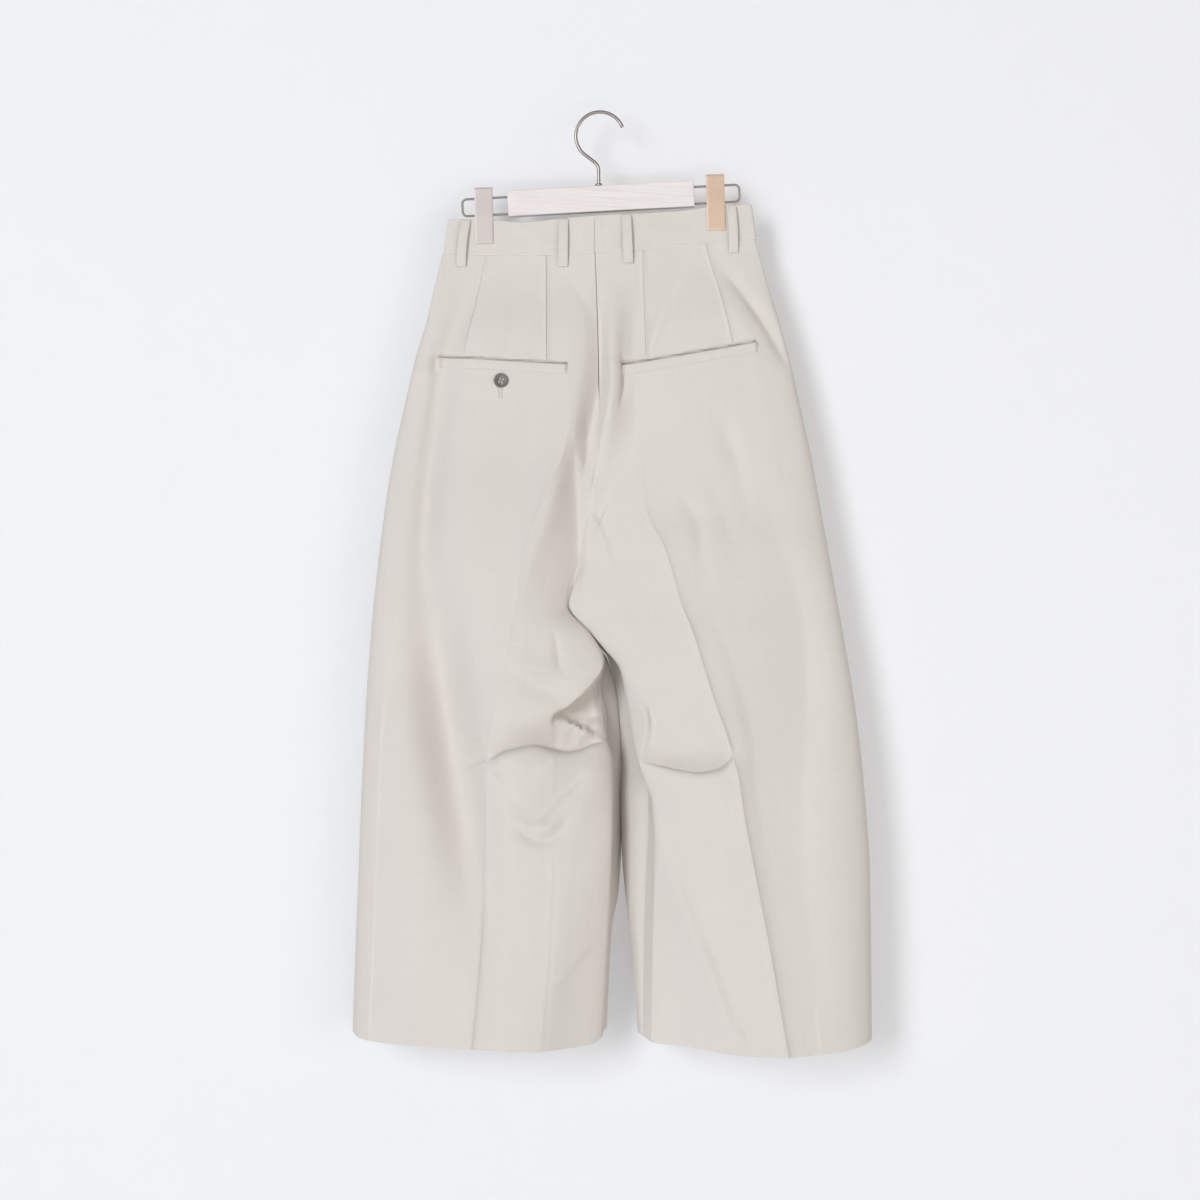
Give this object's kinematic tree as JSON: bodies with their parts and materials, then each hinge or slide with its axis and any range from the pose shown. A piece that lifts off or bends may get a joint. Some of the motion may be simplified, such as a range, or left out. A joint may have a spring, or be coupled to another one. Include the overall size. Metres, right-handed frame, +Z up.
{
  "type": "culottes on a clip hanger",
  "caption": "Wide cropped culottes in off-white cotton twill with pressed creases, belt loops and welt pockets, hung by the waistband from a clip hanger with a wooden bar.",
  "frame": {"origin": "inside top of the hanger's hook, where a rail carries it", "axes": "+Z up, -Y towards the garment's back, which faces the viewer, +X to that viewer's right"},
  "size_m": [0.5683, 0.1202, 1.0267],
  "materials": {
    "cotton_twill": "matte off-white twill, lightly textured",
    "horn": "mottled grey-brown horn look, satin",
    "washed_wood": "white-washed with a faint straight grain, matte",
    "satin_nickel": "satin nickel plate",
    "satin_taupe_metal": "satin grey-taupe plate",
    "satin_copper": "satin copper-coloured plate"
  },
  "bodies": {
    "root": {"back_left": "cotton_twill", "back_right": "cotton_twill", "front_left": "cotton_twill", "front_right": "cotton_twill", "waistband_left": "cotton_twill", "waistband_right": "cotton_twill", "loop_back_outer_left": "cotton_twill", "loop_back_inner_left": "cotton_twill", "loop_back_inner_right": "cotton_twill", "loop_back_outer_right": "cotton_twill", "loop_front_left": "cotton_twill", "loop_front_right": "cotton_twill", "welt_left": "cotton_twill", "welt_right": "cotton_twill", "fly": "cotton_twill", "pocket_button": "horn", "waist_button": "horn", "hanger_bar": "washed_wood", "rail_left": "satin_nickel", "rail_right": "satin_nickel", "hanger_hook": "satin_nickel", "clip_left": "satin_taupe_metal", "clip_right": "satin_copper"}
  },
  "joints": []
}
